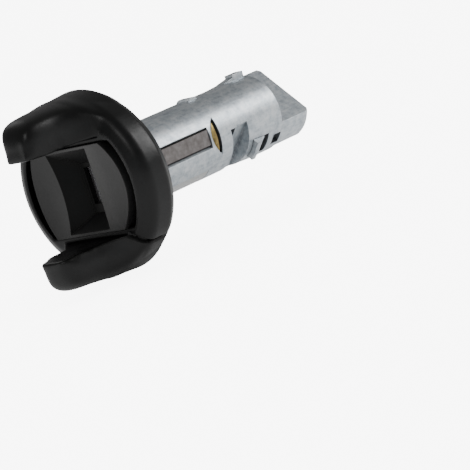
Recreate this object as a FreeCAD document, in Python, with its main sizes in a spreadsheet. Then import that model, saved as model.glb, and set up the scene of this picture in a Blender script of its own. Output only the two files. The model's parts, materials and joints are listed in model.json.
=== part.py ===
import FreeCAD, Part
import math
import os
import Sketcher
from FreeCAD import Placement, Rotation, Vector

# Ignition lock cylinder: a die-cast plug with sidebar locking, a winged knob and a coupling tang.
# The lock's axis is Y and its face looks to -Y. +Z is up, through the middle of the upper wing.
# The origin is on the axis, at the plane of the knob's back. Lengths are in millimetres.

# Sizes that can be set by themselves
SIZES = {
    # Plug body
    "plug_radius": 10.25,
    "plug_length": 54.9,
    "nose_length": 5.5,
    "nose_chamfer": 0.5,
    "rear_rise": 0.25,
    "rear_ramp_start": 42.5,
    "rear_ramp_length": 4.9,
    "tang_length": 11.6,
    "tang_rise": 0.1,
    "tang_thickness": 8.3,
    "tang_chamfer": 0.8,
    "cross_angle": 45.0,
    # Keyway and the room for the shutter
    "keyway_width": 2.9,
    "keyway_height": 9.2,
    "keyway_overrun": 1.8,
    "shutter_room_left": 3.2,
    "shutter_room_right": 2.3,
    "shutter_room_height": 10.6,
    # Tumblers
    "tumbler_count": 10,
    "tumbler_spacing": 2.34,
    "tumbler_first": 3.4,
    "tumbler_thickness": 0.9,
    "tumbler_side_depth": 4.45,
    "tumbler_top": 7.0,
    "tumbler_bottom": 6.2,
    "tumbler_corner": 1.2,
    "tumbler_gap": 0.05,
    "window_width": 3.2,
    "window_height": 9.4,
    "code_base": 0.5,
    "code_step": 0.3,
    "notch_depth": 0.9,
    "tumbler_spring_radius": 0.68,
    "spring_wire": 0.26,
    "spring_room": 0.13,
    # Spring cover
    "cover_thickness": 0.55,
    "cover_half_angle": 41.0,
    "cover_margin": 1.1,
    "cover_angle_gap": 0.3,
    # Sidebar
    "sidebar_rise": 0.6,
    "sidebar_width": 4.1,
    "sidebar_face_depth": 0.4,
    "sidebar_thickness": 2.0,
    "sidebar_start": 0.4,
    "sidebar_overhang": 1.7,
    "sidebar_travel": 0.6,
    "sidebar_gap": 0.08,
    "groove_chamfer": 1.1,
    "groove_chamfer_depth": 1.15,
    "ridge_height": 1.1,
    "ridge_width": 2.2,
    "ridge_tip_width": 0.3,
    "ridge_margin": 2.8,
    "sidebar_spring_radius": 0.62,
    "sidebar_spring_depth": 5.05,
    "sidebar_spring_inset": 0.9,
    # Brass retainer behind the sidebar
    "lens_margin": 0.4,
    "lens_length": 3.3,
    "lens_depth": 1.33,
    "lens_half_width": 8.0,
    "lens_gap": 1.0,
    "lens_gap_depth": 3.05,
    "lens_gap_width": 8.6,
    "retainer_depth": 0.15,
    "retainer_width": 8.6,
    "retainer_stem_radius": 0.8,
    "retainer_stem_depth": 3.95,
    "retainer_stem_gap": 0.2,
    # Cross slot, tab pocket and end notch
    "slot_front": 35.1,
    "slot_step": 37.6,
    "slot_back": 41.65,
    "slot_depth": 3.4,
    "slot_deep_depth": 4.65,
    "slot_deep_width": 14.6,
    "pocket_front": 43.25,
    "pocket_back": 49.5,
    "pocket_depth": 5.95,
    "tab_width": 5.7,
    "tab_side_gap": 0.1,
    "tab_end_gap": 0.1,
    "tab_foot_depth": 4.25,
    "tab_head_rise": 1.35,
    "tab_land": 1.4,
    "tab_length": 4.1,
    "tab_tail_rise": 0.05,
    "tab_spring_radius": 0.95,
    "tab_spring_depth": 8.05,
    "end_notch_front": 51.6,
    "end_notch_depth": 1.35,
    "end_notch_width": 3.4,
    # Raised pads on top of the plug
    "pad_width": 2.8,
    "pad_front": 50.7,
    "pad_rise": 1.6,
    "pad_ramp_rise": 0.85,
    "pad_ramp_length": 5.2,
    "bump_front": 31.4,
    "bump_length": 3.4,
    "bump_rise": 0.45,
    "bump_width": 4.4,
    "bump_chamfer": 0.8,
    "bump_foot": 0.1,
    # Knob
    "lip_depth": 11.5,
    "lip_width": 0.3,
    "shoulder_round": 3.4,
    "rim_depth": 3.6,
    "rim_inset": 3.0,
    "rim_bevel_depth": 1.4,
    "rim_bevel_inset": 1.1,
    "wing_reach": 19.2,
    "wing_radius": 23.5,
    "wing_axis_offset": 3.5,
    "wing_shoulder_radius": 21.9,
    "wing_shoulder": 14.0,
    "wing_crown": 16.5,
    "wing_nose_round": 5.6,
    "wing_round_height": 16.0,
    "wing_round_front": 6.4,
    "wing_round_back": 7.0,
    "wing_round_flare": 7.0,
    "wing_round_reach": 10.5,
    "tip_left": 0.3,
    "tip_right": 4.8,
    "tip_round": 3.0,
    "wall_right": 8.7,
    "wall_left": 4.6,
    "flank_round": 8.0,
    "flank_offset": 24.7,
    "flank_lead": 2.8,
    "flank_slope": 0.1,
    "cavity_depth": 4.0,
    "nose_fit": 0.05,
    "boss_fit": 0.1,
    "recess_inner": 13.4,
    "recess_outer": 18.4,
    "recess_depth": 5.0,
    "rib_thickness": 1.4,
    "rib_count": 6,
    "slit_angle": 1.6,
    "slit_depth": 0.8,
    "slit_count": 2,
    # Face cap
    "cap_radius": 17.0,
    "cap_height": 22.4,
    "cap_groove": 2.0,
    "cap_side_gap": 0.15,
    "channel_step": 1.8,
    "cap_rise": 1.4,
    "cap_hollow": 1.1,
    "boss_width": 8.6,
    "boss_height": 16.4,
    "funnel_width": 14.7,
    "funnel_height": 21.2,
    "funnel_floor_width": 5.4,
    "funnel_floor_height": 13.0,
    "funnel_floor_drop": 0.6,
    "funnel_floor_thickness": 1.4,
    "key_slot_width": 3.2,
    "key_slot_height": 9.6,
    # Shutter and its pin
    "shutter_thickness": 0.7,
    "shutter_width": 3.9,
    "shutter_height": 9.9,
    "shutter_set_back": 0.15,
    "hinge_offset": 2.3,
    "hinge_radius": 0.75,
    "hinge_set_back": 0.9,
    "pin_radius": 0.35,
    "pin_length": 12.4,
    "pin_gap": 0.04,
    "pin_fit": 0.01,
    "pin_end_gap": 0.1,
    "shutter_coil_height": 2.9,
    "shutter_coil_radius": 0.58,
    "shutter_coil_wire": 0.2,
    "shutter_coil_clearance": 0.2,
    "shutter_coil_end_gap": 0.1,
}

TUMBLER_CODE = (1, 3, 2, 0, 2, 1, 3, 0, 2, 1)
# A length past every piece, how far a cut runs past its surface, and how far two features merge
OUTSIDE = 30.0
PAST = 1.0
MERGE = 0.2
COIL_STEPS = 6
TUMBLER_SPRING_TURNS = 4
SIDE_SPRING_TURNS = 5
SHUTTER_SPRING_TURNS = 6


class Size:
    """A number together with the sheet expression that gives it."""

    def __init__(self, value, text):
        self.value = value
        self.text = text

    def __add__(self, other):
        other = as_size(other)
        return Size(self.value + other.value, f"({self.text} + {other.text})")

    def __radd__(self, other):
        return as_size(other) + self

    def __sub__(self, other):
        other = as_size(other)
        return Size(self.value - other.value, f"({self.text} - {other.text})")

    def __rsub__(self, other):
        return as_size(other) - self

    def __mul__(self, other):
        other = as_size(other)
        return Size(self.value * other.value, f"({self.text} * {other.text})")

    def __rmul__(self, other):
        return as_size(other) * self

    def __truediv__(self, other):
        other = as_size(other)
        return Size(self.value / other.value, f"({self.text} / {other.text})")

    def __neg__(self):
        return Size(-self.value, f"(-1 * {self.text})")


def as_size(number):
    if isinstance(number, Size):
        return number
    return Size(float(number), f"({float(number)})")


def cosine(size):
    return Size(math.cos(math.radians(size.value)), f"cos({size.text} * 1 deg)")


def sine(size):
    return Size(math.sin(math.radians(size.value)), f"sin({size.text} * 1 deg)")


def half_chord(radius, distance):
    """Half the length of a circle's chord at a distance from its centre."""
    value = math.sqrt(radius.value ** 2 - distance.value ** 2)
    return Size(value, f"sqrt({radius.text} ^ 2 - {distance.text} ^ 2)")


doc = FreeCAD.newDocument("ignition_lock_cylinder")
sheet = doc.addObject("Spreadsheet::Sheet", "Sizes")
for row, (alias, number) in enumerate(SIZES.items(), start=1):
    sheet.set(f"A{row}", alias)
    sheet.set(f"B{row}", str(number))
    sheet.setAlias(f"B{row}", alias)
doc.recompute()
S = {alias: Size(float(number), f"Sizes.{alias}") for alias, number in SIZES.items()}


# Helpers for sketches and features


def new_body(name):
    body = doc.addObject("PartDesign::Body", name)
    body.Label = name
    body.Placement = Placement()
    return body


def plane_of(body, role):
    return next(item for item in body.Origin.OriginFeatures if item.Role == role)


def sketch_on(body, role, lift=0.0, turn=0.0):
    """An empty sketch on an origin plane: lift moves it along its normal, turn about its own y."""
    sketch = body.newObject("Sketcher::SketchObject", f"{body.Name}_sketch")
    sketch.AttachmentSupport = [(plane_of(body, role), "")]
    sketch.MapMode = "FlatFace"
    lift = as_size(lift)
    turn = as_size(turn)
    sketch.AttachmentOffset = Placement(Vector(0, 0, lift.value), Rotation(Vector(0, 1, 0), turn.value))
    sketch.setExpression("AttachmentOffset.Base.z", lift.text)
    if turn.value:
        sketch.setExpression("AttachmentOffset.Rotation.Angle", turn.text)
    return sketch


def across(body, station):
    """A sketch square to the lock's axis at y = station: its x is X and its y is Z."""
    return sketch_on(body, "XZ_Plane", lift=-as_size(station))


def along(body, turn=0.0, lift=0.0, aside=0.0):
    """A sketch along the axis: its x points outwards, turn degrees below +X, and its y is Y."""
    sketch = sketch_on(body, "XY_Plane", lift=lift, turn=turn)
    aside = as_size(aside)
    if aside.value:
        sketch.setExpression("AttachmentOffset.Base.x", aside.text)
    return sketch


def upright(body):
    """A sketch in the plane X = 0: its x is Y and its y is Z."""
    return sketch_on(body, "YZ_Plane")


def pin_down(sketch, kind, geometry, point, size):
    size = as_size(size)
    index = sketch.addConstraint(Sketcher.Constraint(kind, -1, 1, geometry, point, size.value))
    sketch.setExpression(f"Constraints[{index}]", size.text)


def arc_between(start, end, radius):
    """The short arc from start to end. A positive radius bulges to the right of the way there."""
    chord = end - start
    middle = (start + end) * 0.5
    reach = math.sqrt(radius * radius - chord.Length ** 2 / 4)
    side = Vector(-chord.y, chord.x, 0).normalize()
    centre = middle + side * math.copysign(reach, radius)
    first = math.atan2(start.y - centre.y, start.x - centre.x)
    last = math.atan2(end.y - centre.y, end.x - centre.x)
    if radius < 0:
        first, last = last, first
    return Part.ArcOfCircle(Part.Circle(centre, Vector(0, 0, 1), abs(radius)), first, last)


def outline(sketch, corners):
    """A closed outline. A corner is (x, y), or (x, y, radius) where an arc leads up to it."""
    places = [Vector(as_size(corner[0]).value, as_size(corner[1]).value, 0) for corner in corners]
    ends = []
    for index, corner in enumerate(corners):
        start = places[index - 1]
        end = places[index]
        if len(corner) == 3:
            radius = as_size(corner[2])
            edge = sketch.addGeometry(arc_between(start, end, radius.value), False)
            row = sketch.addConstraint(Sketcher.Constraint("Radius", edge, abs(radius.value)))
            sign = "-1" if radius.value < 0 else "1"
            sketch.setExpression(f"Constraints[{row}]", f"({sign} * {radius.text})")
            ends.append((edge, 1, 2) if radius.value > 0 else (edge, 2, 1))
        else:
            edge = sketch.addGeometry(Part.LineSegment(start, end), False)
            ends.append((edge, 1, 2))
    for index, corner in enumerate(corners):
        edge, _, last = ends[index]
        following, first, _ = ends[(index + 1) % len(corners)]
        sketch.addConstraint(Sketcher.Constraint("Coincident", edge, last, following, first))
        pin_down(sketch, "DistanceX", edge, last, corner[0])
        pin_down(sketch, "DistanceY", edge, last, corner[1])
    return sketch


def box_outline(sketch, left, right, low, high):
    return outline(sketch, [(left, low), (right, low), (right, high), (left, high)])


def disc_outline(sketch, radius, x=0.0, y=0.0):
    radius = as_size(radius)
    centre = Vector(as_size(x).value, as_size(y).value, 0)
    circle = sketch.addGeometry(Part.Circle(centre, Vector(0, 0, 1), radius.value), False)
    row = sketch.addConstraint(Sketcher.Constraint("Radius", circle, radius.value))
    sketch.setExpression(f"Constraints[{row}]", radius.text)
    pin_down(sketch, "DistanceX", circle, 3, x)
    pin_down(sketch, "DistanceY", circle, 3, y)
    return sketch


def feature(body, kind, name, sketch):
    made = body.newObject(f"PartDesign::{kind}", f"{body.Name}_{name}")
    made.Profile = sketch
    return made


def run_length(made, length, both_ways, backwards):
    length = as_size(length)
    made.Length = length.value
    made.setExpression("Length", length.text)
    if both_ways:
        made.SideType = "Symmetric"
    made.Reversed = backwards
    return made


def pad(body, name, sketch, length, both_ways=False, backwards=False):
    return run_length(feature(body, "Pad", name, sketch), length, both_ways, backwards)


def pocket(body, name, sketch, length, both_ways=False, backwards=False):
    return run_length(feature(body, "Pocket", name, sketch), length, both_ways, backwards)


def turned(body, kind, name, sketch, angle=360.0, both_ways=False):
    """A Revolution or Groove about the sketch's y axis."""
    made = feature(body, kind, name, sketch)
    made.ReferenceAxis = (sketch, ["V_Axis"])
    angle = as_size(angle)
    made.Angle = angle.value
    made.setExpression("Angle", angle.text)
    if both_ways:
        made.Midplane = True
    return made


def repeat_along(body, name, original, count, pitch):
    pattern = body.newObject("PartDesign::LinearPattern", f"{body.Name}_{name}")
    pattern.Originals = [original]
    pattern.Direction = (next(i for i in body.Origin.OriginFeatures if i.Role == "Y_Axis"), [""])
    pattern.Mode = "Spacing"
    pattern.Offset = pitch.value
    pattern.setExpression("Offset", pitch.text)
    pattern.Occurrences = int(count.value)
    pattern.setExpression("Occurrences", count.text)
    body.Tip = pattern
    return pattern


def repeat_round(body, name, original, count):
    pattern = body.newObject("PartDesign::PolarPattern", f"{body.Name}_{name}")
    pattern.Originals = [original]
    pattern.Axis = (next(i for i in body.Origin.OriginFeatures if i.Role == "Y_Axis"), [""])
    pattern.Angle = 360.0
    pattern.Occurrences = int(count.value)
    pattern.setExpression("Occurrences", count.text)
    body.Tip = pattern
    return pattern


def coil(name, radius, wire, length, turns, placement):
    """A spring of square wire, wound about local Z from 0 to length."""
    rings = []
    for step in range(turns * COIL_STEPS + 1):
        share = step / (turns * COIL_STEPS)
        angle = 2 * math.pi * step / COIL_STEPS
        low = share * (length - wire)
        outward = Vector(math.cos(angle), math.sin(angle), 0)
        rings.append([
            outward * (radius - wire / 2) + Vector(0, 0, low),
            outward * (radius + wire / 2) + Vector(0, 0, low),
            outward * (radius + wire / 2) + Vector(0, 0, low + wire),
            outward * (radius - wire / 2) + Vector(0, 0, low + wire),
        ])
    faces = [Part.Face(Part.makePolygon(ring + ring[:1])) for ring in (rings[0], rings[-1])]
    for ring, following in zip(rings, rings[1:]):
        for side in range(4):
            near, far = ring[side], ring[(side + 1) % 4]
            near_next, far_next = following[side], following[(side + 1) % 4]
            faces.append(Part.Face(Part.makePolygon([near, far, far_next, near])))
            faces.append(Part.Face(Part.makePolygon([near, far_next, near_next, near])))
    solid = Part.Solid(Part.Shell(faces))
    if solid.Volume < 0:
        solid.reverse()
    spring = doc.addObject("Part::Feature", name)
    spring.Label = name
    spring.Shape = solid
    spring.Placement = placement
    return spring


# Heights above the axis that follow the plug's radius

rear_radius = S["plug_radius"] + S["rear_rise"]
tang_radius = S["plug_radius"] + S["tang_rise"]
groove_chamfer_floor = S["plug_radius"] - S["groove_chamfer_depth"]
sidebar_face = S["plug_radius"] - S["sidebar_face_depth"]
sidebar_spring_seat = S["plug_radius"] - S["sidebar_spring_depth"]
lens_floor = S["plug_radius"] - S["lens_depth"]
lens_gap_floor = S["plug_radius"] - S["lens_gap_depth"]
retainer_radius = S["plug_radius"] - S["retainer_depth"]
retainer_stem_floor = S["plug_radius"] - S["retainer_stem_depth"]
slot_floor = S["plug_radius"] - S["slot_depth"]
slot_deep_floor = S["plug_radius"] - S["slot_deep_depth"]
pocket_floor = S["plug_radius"] - S["pocket_depth"]
tab_foot = S["plug_radius"] - S["tab_foot_depth"]
tab_head = S["plug_radius"] + S["tab_head_rise"]
tab_tail_height = S["plug_radius"] + S["tab_tail_rise"]
tab_spring_seat = S["plug_radius"] - S["tab_spring_depth"]
end_notch_floor = S["plug_radius"] - S["end_notch_depth"]
pad_height = S["plug_radius"] + S["pad_rise"]
pad_ramp_height = S["plug_radius"] + S["pad_ramp_rise"]
bump_height = S["plug_radius"] + S["bump_rise"]
tumbler_half = S["plug_radius"] - S["tumbler_side_depth"]

# Places that several pieces share

nose_front = -S["nose_length"]
lip = -S["lip_depth"]
cavity_floor = lip + S["cavity_depth"]
plug_end = S["plug_length"]
slot_half = tumbler_half + S["tumbler_gap"] * 2
slot_thickness = S["tumbler_thickness"] + S["tumbler_gap"] * 2
slots_end = S["tumbler_first"] + S["tumbler_spacing"] * (S["tumbler_count"] - 1) + slot_thickness
cover_start = S["tumbler_first"] - S["cover_margin"]
cover_end = slots_end + S["cover_margin"]
cover_inner = S["plug_radius"] - S["tumbler_gap"] - S["cover_thickness"]
sidebar_end = slots_end + S["sidebar_overhang"]
sidebar_back = sidebar_face - S["sidebar_thickness"]
sidebar_floor = sidebar_back - S["sidebar_travel"] - S["sidebar_gap"]
sidebar_half = S["sidebar_width"] / 2
sidebar_slot_half = sidebar_half + S["sidebar_gap"]
spring_bore = S["tumbler_spring_radius"] + S["spring_wire"] / 2 + S["spring_room"]
side_spring_bore = S["sidebar_spring_radius"] + S["spring_wire"] / 2 + S["spring_room"] / 2
tab_spring_bore = S["tab_spring_radius"] + S["spring_wire"] / 2 + S["spring_room"]
side_spring_places = (
    S["sidebar_start"] + side_spring_bore + S["sidebar_spring_inset"] / 2,
    sidebar_end - side_spring_bore,
)
ridge_front = S["sidebar_start"] + S["ridge_margin"]
lens_front = sidebar_end + S["lens_margin"]
lens_back = lens_front + S["lens_length"]
lens_slope = (S["plug_radius"] - lens_floor) / S["lens_length"]
retainer_back = lens_back - S["lens_gap"] - S["tumbler_gap"]
retainer_stem_place = retainer_back - S["retainer_stem_radius"]
pocket_half = S["tab_width"] / 2 + S["tab_side_gap"]
tab_front = S["pocket_front"] + S["tab_end_gap"]
tab_spring_place = tab_front + S["tab_length"] / 2
hinge_y = nose_front + S["hinge_set_back"]
hinge_x = -S["hinge_offset"]
cavity_radius = S["cap_radius"] + S["cap_groove"]
cavity_half = S["cap_height"] / 2 + S["cap_side_gap"]
channel_half = S["cap_height"] / 2 + S["channel_step"]
lip_radius = cavity_radius + S["lip_width"]
collar_radius = lip_radius + S["shoulder_round"]


# Plug body, die cast in one piece with its tang


def make_lock_body():
    body = new_body("lock_body")
    ramp_end = S["rear_ramp_start"] + S["rear_ramp_length"]
    tip = plug_end + S["tang_length"]
    profile = outline(along(body), [
        (0, nose_front),
        (S["plug_radius"] - S["nose_chamfer"], nose_front),
        (S["plug_radius"], nose_front + S["nose_chamfer"]),
        (S["plug_radius"], S["rear_ramp_start"]),
        (rear_radius, ramp_end),
        (rear_radius, plug_end),
        (tang_radius, plug_end),
        (tang_radius, tip - S["tang_chamfer"]),
        (tang_radius - S["tang_chamfer"], tip),
        (0, tip),
    ])
    turned(body, "Revolution", "blank", profile)

    pad_side = outline(upright(body), [
        (S["pad_front"] - S["pad_ramp_length"], S["plug_radius"] - PAST),
        (plug_end, S["plug_radius"] - PAST),
        (plug_end, pad_height),
        (S["pad_front"], pad_height),
        (S["pad_front"], pad_ramp_height),
        (S["pad_front"] - S["pad_ramp_length"], S["plug_radius"]),
    ])
    pad(body, "index_pad", pad_side, S["pad_width"], both_ways=True)
    bump_back = S["bump_front"] + S["bump_length"]
    bump_side = outline(upright(body), [
        (S["bump_front"], S["plug_radius"] - PAST),
        (bump_back, S["plug_radius"] - PAST),
        (bump_back, S["plug_radius"] - S["bump_foot"]),
        (bump_back - S["bump_chamfer"], bump_height),
        (S["bump_front"] + S["bump_chamfer"], bump_height),
        (S["bump_front"], S["plug_radius"] - S["bump_foot"]),
    ])
    pad(body, "gate_pad", bump_side, S["bump_width"], both_ways=True)

    flat = S["tang_thickness"] / 2
    for side, (low, high) in enumerate(((flat, OUTSIDE), (-OUTSIDE, -flat))):
        cutter = sketch_on(body, "XY_Plane", turn=S["cross_angle"] + 90)
        box_outline(cutter, low, high, plug_end, tip + PAST)
        pocket(body, f"tang_flat_{side}", cutter, 2 * OUTSIDE, both_ways=True)

    keyway = box_outline(across(body, nose_front - PAST), -S["keyway_width"] / 2, S["keyway_width"] / 2,
                         -S["keyway_height"] / 2, S["keyway_height"] / 2)
    pocket(body, "keyway", keyway, slots_end + S["keyway_overrun"] - nose_front + PAST)
    room = box_outline(across(body, nose_front - PAST), -S["shutter_room_left"], S["shutter_room_right"],
                       -S["shutter_room_height"] / 2, S["shutter_room_height"] / 2)
    pocket(body, "shutter_room", room, S["nose_length"] + PAST)
    pin_hole = disc_outline(sketch_on(body, "XY_Plane"), S["pin_radius"] + S["pin_fit"],
                            hinge_x, hinge_y)
    pocket(body, "pin_hole", pin_hole, S["pin_length"] + 2 * S["pin_end_gap"], both_ways=True)

    first = S["tumbler_first"] - S["tumbler_gap"]
    slot = box_outline(across(body, first), -slot_half, slot_half, -OUTSIDE,
                       S["tumbler_top"] + S["tumbler_gap"])
    slot_cut = pocket(body, "tumbler_slot", slot, slot_thickness)
    repeat_along(body, "tumbler_slots", slot_cut, S["tumbler_count"], S["tumbler_spacing"])
    bore = disc_outline(sketch_on(body, "XY_Plane", lift=-S["tumbler_bottom"]), spring_bore, 0,
                        S["tumbler_first"] + S["tumbler_thickness"] / 2)
    bore_cut = pocket(body, "spring_bore", bore, OUTSIDE)
    repeat_along(body, "spring_bores", bore_cut, S["tumbler_count"], S["tumbler_spacing"])
    seat = box_outline(along(body, turn=90), cover_inner, OUTSIDE / 2,
                       cover_start - S["tumbler_gap"], cover_end + S["tumbler_gap"])
    turned(body, "Groove", "cover_seat", seat,
           2 * (S["cover_half_angle"] + S["cover_angle_gap"]), both_ways=True)

    rise = S["sidebar_rise"]
    bar_slot = box_outline(along(body), sidebar_floor, OUTSIDE / 2,
                           S["sidebar_start"] - S["sidebar_gap"], sidebar_end + S["sidebar_gap"])
    raise_sketch(bar_slot, rise)
    pocket(body, "sidebar_slot", bar_slot, 2 * sidebar_slot_half, both_ways=True)
    ridge_slot = box_outline(along(body), slot_half - MERGE, sidebar_floor + MERGE,
                             ridge_front - S["sidebar_gap"], slots_end)
    raise_sketch(ridge_slot, rise)
    pocket(body, "ridge_slot", ridge_slot, S["ridge_width"] + 2 * S["sidebar_gap"], both_ways=True)
    edge_low = rise - sidebar_slot_half
    edge_high = rise + sidebar_slot_half
    bevel = S["groove_chamfer"]
    mouth = outline(across(body, S["sidebar_start"] - S["sidebar_gap"]), [
        (groove_chamfer_floor, edge_low),
        (S["plug_radius"], edge_low - bevel),
        (OUTSIDE / 2, edge_low - bevel),
        (OUTSIDE / 2, edge_high + bevel),
        (S["plug_radius"], edge_high + bevel),
        (groove_chamfer_floor, edge_high),
    ])
    pocket(body, "groove_mouth", mouth,
           sidebar_end - S["sidebar_start"] + 2 * S["sidebar_gap"])
    for index, place in enumerate(side_spring_places):
        hole = disc_outline(sketch_on(body, "YZ_Plane", lift=sidebar_spring_seat),
                            side_spring_bore, place, rise)
        pocket(body, f"side_spring_bore_{index}", hole,
               sidebar_floor - sidebar_spring_seat + MERGE, backwards=True)

    ramp = outline(along(body), [
        (S["plug_radius"], lens_front),
        (OUTSIDE / 2, lens_front),
        (OUTSIDE / 2, lens_back),
        (lens_floor, lens_back),
    ])
    pocket(body, "lens_notch", ramp, 2 * S["lens_half_width"], both_ways=True)
    gap = box_outline(along(body), lens_gap_floor, OUTSIDE / 2,
                      lens_back - S["lens_gap"], lens_back)
    pocket(body, "lens_gap", gap, S["lens_gap_width"], both_ways=True)
    stem_hole = disc_outline(sketch_on(body, "YZ_Plane", lift=retainer_stem_floor),
                             S["retainer_stem_radius"], retainer_stem_place, 0)
    pocket(body, "retainer_hole", stem_hole, OUTSIDE / 2, backwards=True)

    angle = S["cross_angle"]
    land = box_outline(along(body, turn=angle), slot_floor, OUTSIDE / 2,
                       S["slot_step"], S["slot_back"])
    pocket(body, "cross_slot", land, 2 * OUTSIDE, both_ways=True)
    deep = box_outline(along(body, turn=angle), slot_deep_floor, OUTSIDE / 2,
                       S["slot_front"], S["slot_step"])
    pocket(body, "cross_slot_deep", deep, S["slot_deep_width"], both_ways=True)
    tab_room = box_outline(along(body, turn=angle), pocket_floor, OUTSIDE / 2,
                           S["pocket_front"], S["pocket_back"])
    pocket(body, "tab_pocket", tab_room, 2 * pocket_half, both_ways=True)
    tab_bore = disc_outline(sketch_on(body, "YZ_Plane", lift=tab_spring_seat, turn=angle),
                            tab_spring_bore, tab_spring_place, 0)
    turn_tab_sketch(tab_bore, angle)
    pocket(body, "tab_spring_bore", tab_bore, pocket_floor - tab_spring_seat + MERGE,
           backwards=True)
    notch = box_outline(along(body, turn=angle), end_notch_floor, OUTSIDE / 2,
                        S["end_notch_front"], plug_end)
    pocket(body, "end_notch", notch, S["end_notch_width"], both_ways=True)
    return body


def raise_sketch(sketch, rise):
    """Moves a sketch of the axial plane to the height of the sidebar's middle."""
    offset = sketch.AttachmentOffset
    sketch.AttachmentOffset = Placement(Vector(0, 0, rise.value), offset.Rotation)
    sketch.setExpression("AttachmentOffset.Base.z", rise.text)


def turn_tab_sketch(sketch, angle):
    """Turns a YZ sketch about the lock's axis, so that it faces angle degrees below +X."""
    seat = tab_spring_seat
    turn = Rotation(Vector(1, 0, 0), angle.value)
    sketch.setExpression("AttachmentOffset.Rotation.Angle", None)
    sketch.setExpression("AttachmentOffset.Base.z", None)
    sketch.AttachmentOffset = Placement(turn.multVec(Vector(0, 0, seat.value)), turn)
    sketch.setExpression("AttachmentOffset.Rotation.Angle", angle.text)
    sketch.setExpression("AttachmentOffset.Base.z", (seat * cosine(angle)).text)
    sketch.setExpression("AttachmentOffset.Base.y", (-(seat * sine(angle))).text)


# Spring cover: a brass strip bent to the plug's radius, which closes the tumbler slots below


def make_spring_cover():
    body = new_body("spring_cover")
    strip = box_outline(along(body, turn=90), cover_inner, cover_inner + S["cover_thickness"],
                        cover_start, cover_end)
    turned(body, "Revolution", "strip", strip, 2 * S["cover_half_angle"], both_ways=True)


# Tumblers: brass plates with a window for the key and a notch for the sidebar


def make_tumbler(index, code):
    name = f"tumbler_{index + 1:02d}"
    body = new_body(name)
    front = S["tumbler_first"] + S["tumbler_spacing"] * index
    offset = S["code_base"] + S["code_step"] * code
    half = tumbler_half
    notch = S["notch_depth"]
    notch_middle = S["sidebar_rise"] + offset
    corner = S["tumbler_corner"]
    plate = outline(across(body, front), [
        (-half, -S["tumbler_bottom"] + corner),
        (-half + corner, -S["tumbler_bottom"]),
        (half - corner, -S["tumbler_bottom"]),
        (half, -S["tumbler_bottom"] + corner),
        (half, notch_middle - notch),
        (half - notch, notch_middle),
        (half, notch_middle + notch),
        (half, S["tumbler_top"]),
        (-half, S["tumbler_top"]),
    ])
    pad(body, "plate", plate, S["tumbler_thickness"], backwards=True)
    window = box_outline(across(body, front - PAST), -S["window_width"] / 2, S["window_width"] / 2,
                         offset - S["window_height"] / 2, offset + S["window_height"] / 2)
    pocket(body, "window", window, S["tumbler_thickness"] + 2 * PAST)
    middle = front + S["tumbler_thickness"] / 2
    room = cover_inner.value - S["tumbler_bottom"].value - 2 * S["tumbler_gap"].value
    foot = Vector(0, middle.value, -cover_inner.value + S["tumbler_gap"].value)
    coil(f"tumbler_spring_{index + 1:02d}", S["tumbler_spring_radius"].value,
         S["spring_wire"].value, room, TUMBLER_SPRING_TURNS, Placement(foot, Rotation()))


# Sidebar: a steel bar whose ridge drops into the tumblers' notches


def make_sidebar():
    body = new_body("sidebar")
    rise = S["sidebar_rise"]
    bar = box_outline(across(body, S["sidebar_start"]), sidebar_back, sidebar_face,
                      rise - sidebar_half, rise + sidebar_half)
    pad(body, "bar", bar, sidebar_end - S["sidebar_start"], backwards=True)
    tip = sidebar_back - S["ridge_height"]
    ridge = outline(across(body, ridge_front), [
        (sidebar_back + MERGE, rise - S["ridge_width"] / 2),
        (sidebar_back + MERGE, rise + S["ridge_width"] / 2),
        (sidebar_back, rise + S["ridge_width"] / 2),
        (tip, rise + S["ridge_tip_width"] / 2),
        (tip, rise - S["ridge_tip_width"] / 2),
        (sidebar_back, rise - S["ridge_width"] / 2),
    ])
    pad(body, "ridge", ridge, slots_end - ridge_front - S["sidebar_gap"], backwards=True)
    length = sidebar_back.value - sidebar_spring_seat.value - 2 * S["tumbler_gap"].value
    for name, place in zip(("front", "rear"), side_spring_places):
        foot = Vector(sidebar_spring_seat.value + S["tumbler_gap"].value, place.value, rise.value)
        coil(f"sidebar_spring_{name}", S["sidebar_spring_radius"].value, S["spring_wire"].value,
             length, SIDE_SPRING_TURNS, Placement(foot, Rotation(Vector(0, 1, 0), 90)))


# Brass retainer: a wedge that lies in the lens-shaped notch and is held by its stem


def make_sidebar_retainer():
    body = new_body("sidebar_retainer")
    seat_gap = S["tumbler_gap"] / 2
    edge = retainer_radius
    start = lens_front + (S["plug_radius"] - edge + seat_gap) / lens_slope
    heel = S["plug_radius"] - (retainer_back - lens_front) * lens_slope + seat_gap
    wedge = outline(along(body), [
        (edge, start),
        (edge, retainer_back),
        (heel, retainer_back),
    ])
    pad(body, "wedge", wedge, S["retainer_width"], both_ways=True)
    stem = disc_outline(sketch_on(body, "YZ_Plane", lift=retainer_stem_floor + S["retainer_stem_gap"]),
                        S["retainer_stem_radius"] - seat_gap, retainer_stem_place, 0)
    pad(body, "stem", stem, heel - retainer_stem_floor)
    near = retainer_stem_floor
    rise = half_chord(edge, near)
    crown = outline(across(body, start - PAST), [
        (near, -OUTSIDE / 2),
        (OUTSIDE / 2, -OUTSIDE / 2),
        (OUTSIDE / 2, OUTSIDE / 2),
        (near, OUTSIDE / 2),
        (near, rise),
        (near, -rise, -edge),
    ])
    pocket(body, "crown", crown, retainer_back - start + 2 * PAST)


# Retaining tab: a sprung steel tab that latches the lock into its housing


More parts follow.
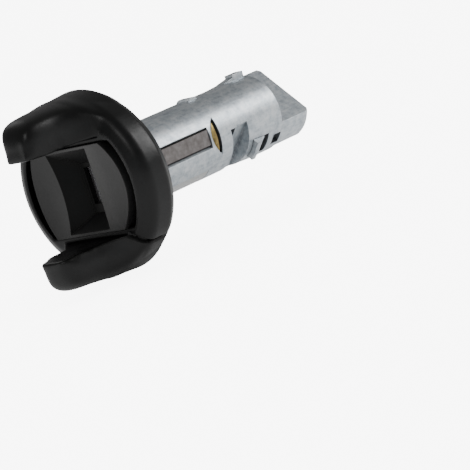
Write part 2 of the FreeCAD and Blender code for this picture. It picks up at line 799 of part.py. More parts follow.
def make_retaining_tab():
    body = new_body("retaining_tab")
    side = outline(along(body, turn=S["cross_angle"]), [
        (tab_foot, tab_front),
        (tab_head, tab_front),
        (tab_head, tab_front + S["tab_land"]),
        (tab_tail_height, tab_front + S["tab_length"]),
        (tab_foot, tab_front + S["tab_length"]),
    ])
    pad(body, "block", side, S["tab_width"], both_ways=True)
    angle = math.radians(S["cross_angle"].value)
    outward = Vector(math.cos(angle), 0, -math.sin(angle))
    seat = tab_spring_seat.value + S["tumbler_gap"].value
    length = tab_foot.value - seat - S["tumbler_gap"].value
    foot = outward * seat + Vector(0, tab_spring_place.value, 0)
    coil("retaining_tab_spring", S["tab_spring_radius"].value, S["spring_wire"].value,
         length, SIDE_SPRING_TURNS, Placement(foot, Rotation(Vector(0, 0, 1), outward)))


# Knob: one moulding with a collar round the face and two wings


def make_knob():
    body = new_body("knob")
    front = lip - S["wing_reach"]
    shoulder = lip - S["wing_shoulder"]
    aside = S["wing_axis_offset"]
    for name, lift in (("upper", aside), ("lower", -aside)):
        barrel = outline(along(body, lift=lift), [
            (0, front),
            (S["wing_crown"] - aside, front),
            (S["wing_shoulder_radius"] - aside, shoulder, S["wing_nose_round"]),
            (S["wing_radius"] - aside, -S["rim_depth"]),
            (S["wing_radius"] - S["rim_bevel_inset"] - aside, -S["rim_bevel_depth"]),
            (S["wing_radius"] - S["rim_inset"] - aside, 0),
            (0, 0),
        ])
        turned(body, "Revolution", f"barrel_{name}", barrel)

    reach = OUTSIDE
    for name, side, tip, wall in (("right", 1, S["tip_right"], S["wall_right"]),
                                  ("left", -1, -S["tip_left"], S["wall_left"])):
        corner = tip + S["tip_round"]
        turn_y = wall - S["flank_offset"]
        lead = S["flank_lead"]
        spread = lead * cosine(S["cross_angle"])
        plan = outline(along(body), [
            (side * tip, front - PAST),
            (side * tip, front),
            (side * corner, front + S["tip_round"], side * S["tip_round"]),
            (side * (wall - lead * S["flank_slope"]), turn_y - lead),
            (side * (wall + spread), turn_y + spread, -side * S["flank_round"]),
            (side * reach, reach - S["flank_offset"]),
            (side * reach, front - PAST),
        ])
        pocket(body, f"flank_{name}", plan, 2 * OUTSIDE, both_ways=True)

    middle = (S["wall_right"] - S["wall_left"]) / 2
    flare = lip - S["wing_round_flare"]
    for name, side in (("upper", 1), ("lower", -1)):
        rounding = outline(along(body, lift=side * S["wing_round_height"], aside=middle), [
            (S["wing_round_front"], front - PAST),
            (S["wing_round_back"], flare),
            (S["wing_round_back"] + S["wing_round_reach"], flare + S["wing_round_reach"]),
            (S["wing_round_back"] + S["wing_round_reach"], front - PAST),
        ])
        turned(body, "Groove", f"rounding_{name}", rounding)

    channel = box_outline(upright(body), front - PAST, lip, -channel_half, channel_half)
    pocket(body, "channel", channel, 2 * OUTSIDE, both_ways=True)

    collar = outline(along(body), [
        (S["recess_inner"], lip),
        (lip_radius, lip),
        (collar_radius, lip + S["shoulder_round"], S["shoulder_round"]),
        (collar_radius, -S["rim_depth"]),
        (collar_radius - S["rim_bevel_inset"], -S["rim_bevel_depth"]),
        (collar_radius - S["rim_inset"], 0),
        (S["recess_inner"], 0),
    ])
    turned(body, "Revolution", "collar", collar)

    cavity = trimmed_disc(across(body, lip - OUTSIDE), cavity_radius, cavity_half)
    pocket(body, "face_cavity", cavity, S["cavity_depth"] + OUTSIDE)
    boss_hole = box_outline(across(body, lip), -S["boss_width"] / 2 - S["boss_fit"],
                            S["boss_width"] / 2 + S["boss_fit"],
                            -S["boss_height"] / 2 - S["boss_fit"],
                            S["boss_height"] / 2 + S["boss_fit"])
    pocket(body, "boss_hole", boss_hole, S["lip_depth"] + PAST)
    nose_bore = disc_outline(across(body, PAST), S["plug_radius"] + S["nose_fit"])
    pocket(body, "nose_bore", nose_bore, S["nose_length"] + PAST, backwards=True)

    half_step = as_size(180) / S["rib_count"]
    inner = S["recess_inner"]
    outer = S["recess_outer"]
    inner_x = inner * sine(half_step) - S["rib_thickness"] / 2
    inner_z = inner * cosine(half_step)
    outer_x = outer * sine(half_step) - S["rib_thickness"] / 2
    outer_z = outer * cosine(half_step)
    sector = outline(across(body, PAST), [
        (-inner_x, inner_z, inner),
        (-outer_x, outer_z),
        (outer_x, outer_z, -outer),
        (inner_x, inner_z),
    ])
    recess = pocket(body, "back_recess", sector, S["recess_depth"] + PAST, backwards=True)
    repeat_round(body, "back_recesses", recess, S["rib_count"])

    cut = S["slit_depth"]
    slit = outline(along(body, turn=S["cross_angle"]), [
        (S["cap_radius"], lip - PAST),
        (S["cap_radius"], lip + cut),
        (lip_radius, lip + cut),
        (collar_radius - cut, lip + S["shoulder_round"], S["shoulder_round"] - cut),
        (collar_radius - cut, -S["rim_depth"]),
        (OUTSIDE, -S["rim_depth"]),
        (OUTSIDE, lip - PAST),
    ])
    slit_cut = turned(body, "Groove", "slit", slit, S["slit_angle"], both_ways=True)
    repeat_round(body, "slits", slit_cut, S["slit_count"])


def trimmed_disc(sketch, radius, half_height):
    """A disc cut off flat at the top and the bottom."""
    reach = half_chord(radius, half_height)
    return outline(sketch, [
        (-reach, -half_height, radius),
        (reach, -half_height),
        (reach, half_height, radius),
        (-reach, half_height),
    ])


# Face cap: the insert between the wings, with a funnel that leads the key to its slot


def make_face_cap():
    body = new_body("face_cap")
    face = lip - S["cap_rise"]
    disc = trimmed_disc(across(body, face), S["cap_radius"], S["cap_height"] / 2)
    pad(body, "disc", disc, cavity_floor - face, backwards=True)
    boss = box_outline(across(body, cavity_floor - MERGE), -S["boss_width"] / 2, S["boss_width"] / 2,
                       -S["boss_height"] / 2, S["boss_height"] / 2)
    pad(body, "boss", boss, nose_front - cavity_floor + MERGE, backwards=True)

    half = S["cap_height"] / 2
    hollow = S["cap_hollow"]
    sweep = (half * half + hollow * hollow) / (2 * hollow)
    dish = disc_outline(upright(body), sweep, face + hollow - sweep, 0)
    pocket(body, "dish", dish, 2 * OUTSIDE, both_ways=True)

    floor = nose_front - S["funnel_floor_thickness"]
    funnel = body.newObject("PartDesign::SubtractiveWedge", "face_cap_funnel")
    funnel.AttachmentSupport = [(plane_of(body, "XY_Plane"), "")]
    funnel.MapMode = "FlatFace"
    for side, size in (
        ("Ymin", face), ("Xmin", -S["funnel_width"] / 2), ("Xmax", S["funnel_width"] / 2),
        ("Zmin", -S["funnel_height"] / 2), ("Zmax", S["funnel_height"] / 2),
        ("Ymax", floor), ("X2min", -S["funnel_floor_width"] / 2),
        ("X2max", S["funnel_floor_width"] / 2),
        ("Z2min", -S["funnel_floor_height"] / 2 - S["funnel_floor_drop"]),
        ("Z2max", S["funnel_floor_height"] / 2 - S["funnel_floor_drop"]),
    ):
        funnel.setExpression(side, size.text)
    key_slot = box_outline(across(body, floor - PAST), -S["key_slot_width"] / 2,
                           S["key_slot_width"] / 2, -S["key_slot_height"] / 2,
                           S["key_slot_height"] / 2)
    pocket(body, "key_slot", key_slot, S["funnel_floor_thickness"] + 2 * PAST)


# Shutter: the sprung door behind the key slot, with its hinge pin and spring


def make_shutter():
    body = new_body("shutter")
    front = nose_front + S["shutter_set_back"]
    half = S["shutter_height"] / 2
    edge = S["shutter_width"] / 2
    coil_foot = half - S["shutter_coil_height"]
    clear = hinge_x + S["hinge_radius"] + S["shutter_coil_clearance"]
    plate = outline(across(body, front), [
        (hinge_x, -half),
        (edge, -half),
        (edge, half),
        (clear, half),
        (clear, coil_foot),
        (hinge_x, coil_foot),
    ])
    pad(body, "plate", plate, S["shutter_thickness"], backwards=True)
    knuckle = disc_outline(sketch_on(body, "XY_Plane", lift=-half), S["hinge_radius"],
                           hinge_x, hinge_y)
    pad(body, "knuckle", knuckle, coil_foot + half)
    bore = disc_outline(sketch_on(body, "XY_Plane", lift=-half - PAST), S["pin_radius"] + S["pin_gap"],
                        hinge_x, hinge_y)
    pocket(body, "pin_bore", bore, S["shutter_height"] + 2 * PAST, backwards=True)

    pin = doc.addObject("Part::Cylinder", "shutter_pin")
    pin.Label = "shutter_pin"
    pin.setExpression("Radius", S["pin_radius"].text)
    pin.setExpression("Height", S["pin_length"].text)
    pin.setExpression("Placement.Base.x", hinge_x.text)
    pin.setExpression("Placement.Base.y", hinge_y.text)
    pin.setExpression("Placement.Base.z", (-S["pin_length"] / 2).text)
    wire = S["shutter_coil_wire"].value
    end_gap = S["shutter_coil_end_gap"].value
    length = S["shutter_coil_height"].value - 3 * end_gap
    foot = Vector(hinge_x.value, hinge_y.value, coil_foot.value + end_gap)
    coil("shutter_spring", S["shutter_coil_radius"].value, wire, length, SHUTTER_SPRING_TURNS,
         Placement(foot, Rotation()))


make_lock_body()
make_spring_cover()
for number, code in enumerate(TUMBLER_CODE):
    make_tumbler(number, code)
make_sidebar()
make_sidebar_retainer()
make_retaining_tab()
make_knob()
make_face_cap()
make_shutter()
doc.recompute()

# Checks, then one STEP file for each piece

for item in doc.Objects:
    if "Invalid" in item.State or "Error" in item.State:
        raise RuntimeError(f"{item.Name} is in state {item.State}")
pieces = [item for item in doc.Objects
          if item.TypeId in ("PartDesign::Body", "Part::Feature", "Part::Cylinder")]
for piece in pieces:
    if piece.Shape.isNull() or not piece.Shape.isValid():
        raise RuntimeError(f"{piece.Label} has no valid shape")
    if len(piece.Shape.Solids) != 1:
        raise RuntimeError(f"{piece.Label} has {len(piece.Shape.Solids)} solids")
os.makedirs("parts", exist_ok=True)
for piece in pieces:
    piece.Shape.exportStep(f"parts/{piece.Label}.step")
    print(piece.Label, round(piece.Shape.Volume, 2))
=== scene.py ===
"""The looks of the ignition lock cylinder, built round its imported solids. Sizes are in mm."""

import json
import math

import bpy
import numpy as np
from mathutils import Matrix, Vector


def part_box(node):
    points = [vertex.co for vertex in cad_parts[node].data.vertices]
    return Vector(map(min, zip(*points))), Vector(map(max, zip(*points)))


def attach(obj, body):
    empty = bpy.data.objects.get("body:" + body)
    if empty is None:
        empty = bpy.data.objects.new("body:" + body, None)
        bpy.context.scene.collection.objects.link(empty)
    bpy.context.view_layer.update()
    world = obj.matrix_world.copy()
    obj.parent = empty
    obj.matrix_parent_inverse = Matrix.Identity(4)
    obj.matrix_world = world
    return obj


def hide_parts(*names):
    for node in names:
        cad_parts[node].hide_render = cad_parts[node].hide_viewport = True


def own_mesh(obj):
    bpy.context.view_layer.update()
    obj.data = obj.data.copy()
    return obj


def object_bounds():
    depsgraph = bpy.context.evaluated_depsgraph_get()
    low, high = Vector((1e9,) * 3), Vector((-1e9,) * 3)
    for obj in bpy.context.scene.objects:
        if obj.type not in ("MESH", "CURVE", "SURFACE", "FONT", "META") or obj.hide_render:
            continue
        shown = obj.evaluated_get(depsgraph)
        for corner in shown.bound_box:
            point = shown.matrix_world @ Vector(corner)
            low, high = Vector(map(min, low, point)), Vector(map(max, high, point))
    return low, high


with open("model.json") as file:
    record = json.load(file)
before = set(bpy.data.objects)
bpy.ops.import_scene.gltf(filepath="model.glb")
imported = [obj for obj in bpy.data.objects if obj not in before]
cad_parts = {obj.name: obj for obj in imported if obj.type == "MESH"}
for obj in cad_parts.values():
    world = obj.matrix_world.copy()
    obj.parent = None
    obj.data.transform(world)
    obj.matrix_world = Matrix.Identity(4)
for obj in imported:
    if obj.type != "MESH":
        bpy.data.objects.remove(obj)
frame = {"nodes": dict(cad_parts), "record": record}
cad_low, cad_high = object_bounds()

MM = 0.001
WHITE = (1.0, 1.0, 1.0)

KNOB_BLACK = (0.003, 0.003, 0.0032)
ZINC_DARK = (0.40, 0.44, 0.48)
ZINC_MIDDLE = (0.55, 0.60, 0.64)
ZINC_LIGHT = (0.70, 0.74, 0.77)
ZINC_SHADE = (0.16, 0.16, 0.165)
BAR_DARK = (0.15, 0.135, 0.13)
BAR_LIGHT = (0.26, 0.245, 0.24)
BRASS_TARNISHED = (0.13, 0.10, 0.04)
BRASS_DULL = (0.34, 0.25, 0.09)
BRASS_BRIGHT = (0.55, 0.42, 0.18)
STEEL_DARK = (0.30, 0.30, 0.31)
STEEL_LIGHT = (0.48, 0.48, 0.49)
TINNED_DARK = (0.42, 0.43, 0.43)
TINNED_LIGHT = (0.64, 0.65, 0.64)

# The face cap shades like a surface that bows by x squared over this length
CROWN_LENGTH = 60.0

# How far from a corner painted shade darkens the zinc, and the rays that look for corners and soften edges
SHADE_REACH = 4.0
SHADE_SAMPLES = 6
EDGE_SAMPLES = 4

# The Mix node has a set of sockets for each kind of data, and these are the ones for colours
MIX_COLOUR_ONE = 6
MIX_COLOUR_OTHER = 7
MIX_COLOUR_RESULT = 2


# Nodes that the materials share


def new_material(name):
    """A new material, its node tree and its Principled shader."""
    material = bpy.data.materials.new(name)
    material.use_nodes = True
    tree = material.node_tree
    return material, tree, tree.nodes["Principled BSDF"]


def add(tree, kind, **values):
    """A new node, with each value set on its socket of that name, or else on the node itself."""
    node = tree.nodes.new(kind)
    for key, value in values.items():
        if key in node.inputs:
            node.inputs[key].default_value = value
        else:
            setattr(node, key, value)
    return node


def place(tree, scale=(1, 1, 1)):
    """Object coordinates in millimetres, stretched by scale."""
    coordinates = add(tree, "ShaderNodeTexCoord")
    mapping = add(tree, "ShaderNodeMapping")
    mapping.inputs["Scale"].default_value = [s / MM for s in scale]
    tree.links.new(coordinates.outputs["Object"], mapping.inputs["Vector"])
    return mapping.outputs["Vector"]


def noise(tree, where, scale, detail=3.0, roughness=0.6):
    """A noise that has about scale waves in each millimetre."""
    node = add(tree, "ShaderNodeTexNoise", Scale=scale, Detail=detail, Roughness=roughness)
    tree.links.new(where, node.inputs["Vector"])
    return node.outputs["Fac"]


def ramp(tree, value, stops):
    """Maps a value to colours, or to greys where a stop is a plain number."""
    node = add(tree, "ShaderNodeValToRGB")
    elements = node.color_ramp.elements
    while len(elements) < len(stops):
        elements.new(0.5)
    for element, (position, colour) in zip(elements, stops):
        element.position = position
        if isinstance(colour, (int, float)):
            colour = (colour, colour, colour)
        element.color = (*colour, 1.0)
    tree.links.new(value, node.inputs["Fac"])
    return node.outputs["Color"]


def mix(tree, share, one, other, blend):
    """One colour with a share of the other, blended in the way that is named."""
    node = add(tree, "ShaderNodeMix", data_type="RGBA", blend_type=blend)
    node.inputs["Factor"].default_value = share
    tree.links.new(one, node.inputs[MIX_COLOUR_ONE])
    tree.links.new(other, node.inputs[MIX_COLOUR_OTHER])
    return node.outputs[MIX_COLOUR_RESULT]


def bump(tree, shader, heights, edge=0.0):
    """Adds bumps, each a (height, distance in mm, strength), and softens edges by edge mm."""
    normal = None
    if edge:
        rounded = add(tree, "ShaderNodeBevel", samples=EDGE_SAMPLES, Radius=edge * MM)
        normal = rounded.outputs["Normal"]
    for height, distance, strength in heights:
        node = add(tree, "ShaderNodeBump", Strength=strength, Distance=distance * MM)
        tree.links.new(height, node.inputs["Height"])
        if normal is not None:
            tree.links.new(normal, node.inputs["Normal"])
        normal = node.outputs["Normal"]
    tree.links.new(normal, shader.inputs["Normal"])


# Materials


def knob_plastic():
    """Black moulded plastic with a soft sheen, a little uneven."""
    material, tree, shader = new_material("knob_plastic")
    where = place(tree)
    shader.inputs["Base Color"].default_value = (*KNOB_BLACK, 1)
    shader.inputs["Specular IOR Level"].default_value = 0.28
    sheen = noise(tree, where, scale=0.35, detail=4)
    waves = noise(tree, where, scale=0.45, detail=2)
    pebbles = noise(tree, where, scale=2.2, detail=3)
    tree.links.new(ramp(tree, sheen, [(0.35, 0.3), (0.7, 0.4)]), shader.inputs["Roughness"])
    bump(tree, shader, [(waves, 0.05, 0.3), (pebbles, 0.012, 0.4)])
    return material


def cap_plastic():
    """Dark satin plastic, shaded as if it bowed a little from side to side."""
    material, tree, shader = new_material("cap_plastic")
    where = place(tree)
    tone = ramp(tree, noise(tree, where, scale=0.3), [(0.3, 0.008), (0.7, 0.012)])
    tree.links.new(tone, shader.inputs["Base Color"])
    shader.inputs["Roughness"].default_value = 0.42
    axes = add(tree, "ShaderNodeSeparateXYZ")
    tree.links.new(where, axes.inputs["Vector"])
    crown = add(tree, "ShaderNodeMath", operation="MULTIPLY")
    tree.links.new(axes.outputs["X"], crown.inputs[0])
    tree.links.new(axes.outputs["X"], crown.inputs[1])
    grain = noise(tree, where, scale=6.0, detail=3)
    bump(tree, shader, [(crown.outputs["Value"], 1 / CROWN_LENGTH, 1.0), (grain, 0.02, 0.3)], edge=0.25)
    return material


def painted_funnel_shade():
    """The cap's plastic deep in the funnel, made nearly black and with little shine as painted shade."""
    material, tree, shader = new_material("painted_funnel_shade")
    where = place(tree)
    tone = ramp(tree, noise(tree, where, scale=0.3), [(0.3, 0.002), (0.7, 0.004)])
    tree.links.new(tone, shader.inputs["Base Color"])
    shader.inputs["Specular IOR Level"].default_value = 0.12
    shader.inputs["Roughness"].default_value = 0.3
    grain = noise(tree, where, scale=4.0, detail=3)
    bump(tree, shader, [(grain, 0.01, 0.3)], edge=0.2)
    return material


def cast_zinc():
    """Die-cast zinc with bluish patches, faint streaks along the axis, and painted shade darkening its
    corners and recesses.
    """
    material, tree, shader = new_material("cast_zinc")
    where = place(tree)
    drawn = place(tree, scale=(1.0, 0.12, 1.0))
    patches = noise(tree, where, scale=0.45, detail=6, roughness=0.75)
    grain = noise(tree, where, scale=2.4, detail=4)
    streaks = noise(tree, drawn, scale=1.1, detail=3)
    tone = ramp(tree, patches, [(0.34, ZINC_DARK), (0.5, ZINC_MIDDLE), (0.64, ZINC_LIGHT)])
    tone = mix(tree, 0.35, tone, ramp(tree, grain, [(0.35, 0.45), (0.65, 0.8)]), "MULTIPLY")
    tone = mix(tree, 0.25, tone, ramp(tree, streaks, [(0.4, 0.55), (0.6, 0.9)]), "OVERLAY")
    # Painted shade: ambient occlusion darkens the zinc's colour in its corners and recesses
    recess = add(tree, "ShaderNodeAmbientOcclusion", samples=SHADE_SAMPLES, Distance=SHADE_REACH * MM)
    painted_shade = ramp(tree, recess.outputs["AO"], [(0.25, ZINC_SHADE), (0.85, WHITE)])
    tone = mix(tree, 0.85, tone, painted_shade, "MULTIPLY")
    tree.links.new(tone, shader.inputs["Base Color"])
    shader.inputs["Metallic"].default_value = 0.9
    tree.links.new(ramp(tree, grain, [(0.3, 0.36), (0.7, 0.5)]), shader.inputs["Roughness"])
    bump(tree, shader, [(grain, 0.03, 0.35), (streaks, 0.03, 0.25)], edge=0.2)
    return material


def bar_steel():
    """Brownish steel with fine lines along the axis."""
    material, tree, shader = new_material("bar_steel")
    drawn = place(tree, scale=(1.0, 0.06, 1.0))
    where = place(tree)
    lines = noise(tree, drawn, scale=5.0, detail=4)
    patches = noise(tree, where, scale=0.5, detail=4)
    tone = ramp(tree, patches, [(0.3, BAR_DARK), (0.7, BAR_LIGHT)])
    tone = mix(tree, 0.3, tone, ramp(tree, lines, [(0.35, 0.5), (0.65, 1.0)]), "MULTIPLY")
    tree.links.new(tone, shader.inputs["Base Color"])
    shader.inputs["Metallic"].default_value = 0.75
    tree.links.new(ramp(tree, lines, [(0.3, 0.42), (0.7, 0.6)]), shader.inputs["Roughness"])
    bump(tree, shader, [(lines, 0.02, 0.3)], edge=0.15)
    return material


def tarnished_brass():
    """Brass that is tarnished in patches and rougher there."""
    material, tree, shader = new_material("brass")
    drawn = place(tree, scale=(1.0, 0.15, 1.0))
    where = place(tree)
    lines = noise(tree, drawn, scale=4.0, detail=4)
    tarnish = noise(tree, where, scale=0.4, detail=5, roughness=0.7)
    tone = ramp(tree, tarnish, [(0.3, BRASS_TARNISHED), (0.55, BRASS_DULL), (0.8, BRASS_BRIGHT)])
    tree.links.new(tone, shader.inputs["Base Color"])
    shader.inputs["Metallic"].default_value = 0.95
    tree.links.new(ramp(tree, tarnish, [(0.3, 0.5), (0.7, 0.3)]), shader.inputs["Roughness"])
    bump(tree, shader, [(lines, 0.015, 0.3)], edge=0.1)
    return material


def plain_metal(name, dark, light):
    """Bright sheet or wire metal, mottled finely between two tones."""
    material, tree, shader = new_material(name)
    where = place(tree)
    fine = noise(tree, where, scale=3.0, detail=4)
    tree.links.new(ramp(tree, fine, [(0.3, dark), (0.7, light)]), shader.inputs["Base Color"])
    shader.inputs["Metallic"].default_value = 0.95
    tree.links.new(ramp(tree, fine, [(0.3, 0.28), (0.7, 0.42)]), shader.inputs["Roughness"])
    bump(tree, shader, [(fine, 0.01, 0.3)], edge=0.08)
    return material


def dress(node_object, material, slot_name):
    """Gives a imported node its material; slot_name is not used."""
    node_object.data.materials.clear()
    node_object.data.materials.append(material)


black = knob_plastic()
satin = cap_plastic()
shaded = painted_funnel_shade()
zinc = cast_zinc()
bar = bar_steel()
golden = tarnished_brass()
steel = plain_metal("plain_steel", STEEL_DARK, STEEL_LIGHT)
tinned = plain_metal("tinned_brass", TINNED_DARK, TINNED_LIGHT)

LOOKS = {
    "knob": (black, "knob_black"),
    "face_cap": (satin, "cap_black"),
    "lock_body": (zinc, "zinc"),
    "retaining_tab": (zinc, "zinc"),
    "sidebar": (bar, "bar_steel"),
    "sidebar_retainer": (golden, "brass"),
    "spring_cover": (tinned, "brass"),
    "shutter": (steel, "steel"),
    "shutter_pin": (steel, "steel"),
}
SPRING_LOOK = (steel, "spring_steel")
TUMBLER_LOOK = (golden, "brass")

nodes = frame["nodes"]
for node_name, node_object in nodes.items():
    others = SPRING_LOOK if "spring" in node_name else TUMBLER_LOOK
    dress(node_object, *LOOKS.get(node_name, others))


# Knob: the solid's mesh, remeshed and relaxed so that its edges flow as a moulding's do

KNOB_VOXEL = 0.32
RELAX_SHARE = 0.5
WING_PASSES = 125
SKIN_PASSES = 3

# Forward is the distance before the knob's back, reach that from the axis, height that above or below it
# A pair says where an effect starts and where it is full
knob_low, knob_high = (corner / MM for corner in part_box("knob"))
WING_LENGTH = -knob_low.y
COLLAR_RADIUS = knob_high.x
TIP_FORWARD = (WING_LENGTH - 7.7, WING_LENGTH - 2.7)
TIP_REACHES_IN = 1.2
WING_FORWARD = (9.0, 13.0)
FLANK_HEIGHT = (13.3, 16.5)
NOSE_FORWARD = (10.0, 22.0)
LIP_FORWARD = (9.5, 11.0)
LIP_REACH = (19.5, 21.0)
RIM_REACH = (COLLAR_RADIUS - 3.7, COLLAR_RADIUS - 0.7)

# The collar swells most at its middle, and not at all half its width from there
COLLAR_MIDDLE = 6.0
COLLAR_HALF_WIDTH = 8.0

# How far the wings, the collar and its lip are moved
WING_SWELL = 0.3
COLLAR_LIFT = 0.2
NOSE_LIFT = 0.4
COLLAR_SWELL = 0.25
LIP_PULLED_IN = 0.45
LIP_PUSHED_OUT = 0.5

# The two slits between collar and wings lie opposite each other, and sink towards a round core
SLIT_ANGLE = math.radians(45.0)
SLIT_ARC = (0.35, 0.75)
SLIT_REACH = (18.0, 18.6)
SLIT_FORWARD = (1.5, 2.5)
SLIT_DEEPER = 0.9
SLIT_EASE = 0.5
CORE_RADIUS = 19.3
CORE_FORWARD = 8.1


def remeshed(node_object, name, voxel):
    """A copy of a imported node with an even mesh."""
    copy = bpy.data.objects.new(name, node_object.data.copy())
    bpy.context.scene.collection.objects.link(copy)
    remesh = copy.modifiers.new("remesh", "REMESH")
    remesh.mode = "VOXEL"
    remesh.voxel_size = voxel * MM
    graph = bpy.context.evaluated_depsgraph_get()
    made = bpy.data.meshes.new_from_object(copy.evaluated_get(graph))
    copy.modifiers.clear()
    copy.data = made
    made.name = name
    made.shade_smooth()
    return copy


def read_points(mesh):
    """The mesh's points in millimetres, one in each row."""
    points = np.empty(len(mesh.vertices) * 3)
    mesh.vertices.foreach_get("co", points)
    return points.reshape(-1, 3) / MM


def relaxed(mesh, points, weights, passes):
    """Moves each point towards the mean of its neighbours, by up to RELAX_SHARE of the way in a pass."""
    edges = np.empty(len(mesh.edges) * 2, dtype=np.int64)
    mesh.edges.foreach_get("vertices", edges)
    edges = edges.reshape(-1, 2)
    near = np.concatenate((edges[:, 0], edges[:, 1]))
    far = np.concatenate((edges[:, 1], edges[:, 0]))
    count = np.bincount(near, minlength=len(points))[:, None]
    for _ in range(passes):
        total = np.stack([np.bincount(near, points[far, axis], len(points)) for axis in range(3)], 1)
        points = points + RELAX_SHARE * weights[:, None] * (total / count - points)
    return points


def smooth_step(value, low, high):
    """0 up to low, 1 from high on, and smooth between them."""
    share = np.clip((value - low) / (high - low), 0.0, 1.0)
    return share * share * (3.0 - 2.0 * share)


def slit_distance(points):
    """How far each point is from the nearer slit, along the collar's round."""
    angle = np.arctan2(points[:, 2], points[:, 0]) + SLIT_ANGLE
    turned = (angle + math.pi / 2) % math.pi - math.pi / 2
    return np.abs(turned) * np.hypot(points[:, 0], points[:, 2])


def moulded_knob(node_object):
    """The knob with wings rounded like a moulding's, a crisp lip, deep slits and a crowned collar."""
    skin = remeshed(node_object, "knob_moulding", KNOB_VOXEL)
    points = read_points(skin.data)
    forward = -points[:, 1]
    height = np.abs(points[:, 2])
    reach = np.hypot(points[:, 0], points[:, 2])

    tip = TIP_REACHES_IN * smooth_step(forward, *TIP_FORWARD)
    wings = smooth_step(forward, *WING_FORWARD) * smooth_step(height + tip, *FLANK_HEIGHT)
    lip = smooth_step(forward, *LIP_FORWARD) * (1 - smooth_step(reach, *LIP_REACH)) * (1 - wings)
    slit = 1 - smooth_step(slit_distance(points), *SLIT_ARC)
    slit *= smooth_step(reach, *SLIT_REACH) * smooth_step(forward, *SLIT_FORWARD) * (1 - wings)

    points = relaxed(skin.data, points, 1 - slit, SKIN_PASSES)
    points = relaxed(skin.data, points, wings, WING_PASSES)

    lift = COLLAR_LIFT + NOSE_LIFT * smooth_step(-points[:, 1], *NOSE_FORWARD)
    points[:, 2] += lift * smooth_step(height, *FLANK_HEIGHT) + np.sign(points[:, 2]) * wings * WING_SWELL

    core = np.stack((points[:, 0] * CORE_RADIUS / reach, np.maximum(points[:, 1], -CORE_FORWARD),
                     points[:, 2] * CORE_RADIUS / reach), 1)
    inward = core - points
    inward /= np.maximum(np.linalg.norm(inward, axis=1), SLIT_EASE)[:, None]
    points += inward * (slit * SLIT_DEEPER)[:, None]

    crown = COLLAR_SWELL * smooth_step(reach, *RIM_REACH)
    crown *= np.clip(1 - ((points[:, 1] + COLLAR_MIDDLE) / COLLAR_HALF_WIDTH) ** 4, 0, 1)
    swell = 1 + (crown - LIP_PULLED_IN * lip) / reach
    points[:, 0] *= swell
    points[:, 2] *= swell
    points[:, 1] -= LIP_PUSHED_OUT * lip

    skin.data.vertices.foreach_set("co", (points * MM).ravel())
    skin.data.update()
    return skin


knob_skin = moulded_knob(nodes["knob"])
knob_skin.data.materials.clear()
knob_skin.data.materials.append(black)
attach(knob_skin, "plug")
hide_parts("knob")


# Face cap: its crescents drawn in a little, and painted shade making its funnel darker than its face

FUNNEL_HALF_WIDTH = 7.35
FUNNEL_FORWARD = 11.6
CRESCENT_THICKNESS = 3.0
CRESCENT_SHARE = 0.912

# Faces deep in the funnel that look up or down by more than this are its top and bottom walls
WALL_TILT = 0.3


def trimmed_cap(node_object):
    """The face cap with narrower crescents, and painted shade deep in its funnel but for two of the walls.
    """
    cap = bpy.data.objects.new("cap_moulding", node_object.data.copy())
    bpy.context.scene.collection.objects.link(cap)
    for vertex in cap.data.vertices:
        aside = abs(vertex.co.x) / MM
        if aside > FUNNEL_HALF_WIDTH and vertex.co.y / MM < CRESCENT_THICKNESS - FUNNEL_FORWARD:
            drawn_in = FUNNEL_HALF_WIDTH + (aside - FUNNEL_HALF_WIDTH) * CRESCENT_SHARE
            vertex.co.x = math.copysign(drawn_in * MM, vertex.co.x)
    cap.data.materials.clear()
    cap.data.materials.append(satin)
    cap.data.materials.append(shaded)
    # Painted shade: the funnel's side walls and floor take the darker, less shiny copy of the cap's
    # plastic
    for face in cap.data.polygons:
        deep = face.center.y / MM > -FUNNEL_FORWARD and abs(face.center.x) / MM < FUNNEL_HALF_WIDTH
        face.material_index = 1 if deep and abs(face.normal.z) < WALL_TILT else 0
    return cap


cap_skin = trimmed_cap(nodes["face_cap"])
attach(cap_skin, "plug")
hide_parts("face_cap")


# Springs: each is copied and carried with the plug in place of its imported node


def sprung(node_name):
    """A copy of a spring, carried with the plug in place of the imported one."""
    source = nodes[node_name]
    spring = bpy.data.objects.new(f"{node_name}_coil", source.data.copy())
    bpy.context.scene.collection.objects.link(spring)
    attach(spring, "plug")
    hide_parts(node_name)
    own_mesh(spring)


for joint in frame["record"]["behaviour"]["joints"]:
    if joint["type"] == "slide":
        for deforming in joint["deforming_nodes"]:
            sprung(deforming["node"])


# Stage: a pale floor, an even world and soft lights that all face the origin

FLOOR_HALF_SIDE = 3000.0
FLOOR_GAP = 0.5
FLOOR_GREY = (0.3, 0.3, 0.3)
FLOOR_GLOW = 7.0
SHADOW_REACH = 30.0
SHADOW_SAMPLES = 4
WORLD_STRENGTH = 0.28

# Each has its name, place, width, height and brightness
LIGHTS = (
    ("key", (350, 417, 250), 170, 260, 10.0),
    ("fill", (-420, 150, 400), 250, 250, 0.9),
    ("front", (235, -391, 308), 200, 170, 4.0),
    ("card", (-190, -480, 20), 160, 150, 2.8),
)


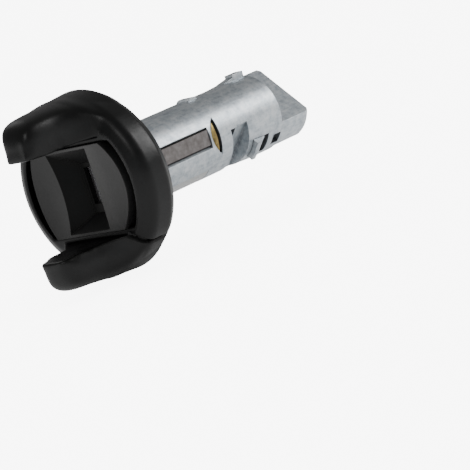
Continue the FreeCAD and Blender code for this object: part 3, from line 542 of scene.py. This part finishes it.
def floor():
    """A plain floor, nearly white to the camera, which glows to light the part, its glow darkened close
    below the part as a painted contact shadow.
    """
    mesh = bpy.data.meshes.new("floor")
    side = FLOOR_HALF_SIDE * MM
    mesh.from_pydata([(-side, -side, 0), (side, -side, 0), (side, side, 0), (-side, side, 0)],
                     [], [(0, 1, 2, 3)])
    ground = bpy.data.objects.new("floor", mesh)
    ground.location.z = cad_low.z - FLOOR_GAP * MM
    material, tree, shader = new_material("floor")
    shader.inputs["Base Color"].default_value = (*FLOOR_GREY, 1)
    shader.inputs["Roughness"].default_value = 0.9
    shader.inputs["Emission Color"].default_value = (*WHITE, 1)
    seen = add(tree, "ShaderNodeLightPath")
    glow = add(tree, "ShaderNodeMath", operation="MULTIPLY_ADD")
    glow.inputs[1].default_value = FLOOR_GLOW
    # Painted shadow: ambient occlusion dims the floor's glow near the part
    painted_shadow = add(tree, "ShaderNodeAmbientOcclusion", samples=SHADOW_SAMPLES, Distance=SHADOW_REACH * MM)
    tree.links.new(seen.outputs["Is Camera Ray"], glow.inputs[0])
    tree.links.new(painted_shadow.outputs["AO"], glow.inputs[2])
    tree.links.new(glow.outputs["Value"], shader.inputs["Emission Strength"])
    mesh.materials.append(material)
    bpy.context.scene.collection.objects.link(ground)


def studio_world():
    """A world of even white light."""
    world = bpy.data.worlds.new("studio")
    bpy.context.scene.world = world
    world.use_nodes = True
    background = world.node_tree.nodes["Background"]
    background.inputs["Color"].default_value = (*WHITE, 1)
    background.inputs["Strength"].default_value = WORLD_STRENGTH


def softbox(name, place_mm, width, height, brightness):
    """An area light that faces the origin and is as bright as said, whatever its size."""
    light = bpy.data.lights.new(name, "AREA")
    light.shape = "RECTANGLE"
    light.size = width * MM
    light.size_y = height * MM
    light.energy = brightness * math.pi * light.size * light.size_y
    holder = bpy.data.objects.new(name, light)
    holder.location = Vector(place_mm) * MM
    holder.rotation_mode = "QUATERNION"
    holder.rotation_quaternion = (-Vector(place_mm)).to_track_quat("-Z", "Y")
    bpy.context.scene.collection.objects.link(holder)


floor()
studio_world()
for light_row in LIGHTS:
    softbox(*light_row)


# Camera: fitted to the knob and the plug in the photograph

AZIMUTH = math.radians(45.045)
ELEVATION = math.radians(9.176)
ROLL = math.radians(17.583)
DISTANCE = 629.476
SHIFT_RIGHT = 38.158
SHIFT_DOWN = 10.953
TARGET = Vector((0, -11.5, 0))
LENS = 194.66
SENSOR_WIDTH = 36.0
CLIP_START = 10.0
CLIP_END = 20000.0


def photograph_camera():
    """A camera that looks from AZIMUTH and ELEVATION, moved aside and turned about its line of sight."""
    back = Vector((math.sin(AZIMUTH) * math.cos(ELEVATION), -math.cos(AZIMUTH) * math.cos(ELEVATION),
                   math.sin(ELEVATION)))
    level_right = (-back).cross(Vector((0, 0, 1))).normalized()
    level_up = level_right.cross(-back)
    right = level_right * math.cos(ROLL) - level_up * math.sin(ROLL)
    up = level_right * math.sin(ROLL) + level_up * math.cos(ROLL)
    lens = bpy.data.cameras.new("camera")
    lens.sensor_width = SENSOR_WIDTH
    lens.lens = LENS
    lens.clip_start = CLIP_START * MM
    lens.clip_end = CLIP_END * MM
    camera = bpy.data.objects.new("camera", lens)
    location = (back * DISTANCE + right * SHIFT_RIGHT - up * SHIFT_DOWN + TARGET) * MM
    camera.matrix_world = Matrix.Translation(location) @ Matrix((
        (right.x, up.x, back.x),
        (right.y, up.y, back.y),
        (right.z, up.z, back.z),
    )).to_4x4()
    bpy.context.scene.collection.objects.link(camera)
    bpy.context.scene.camera = camera


photograph_camera()
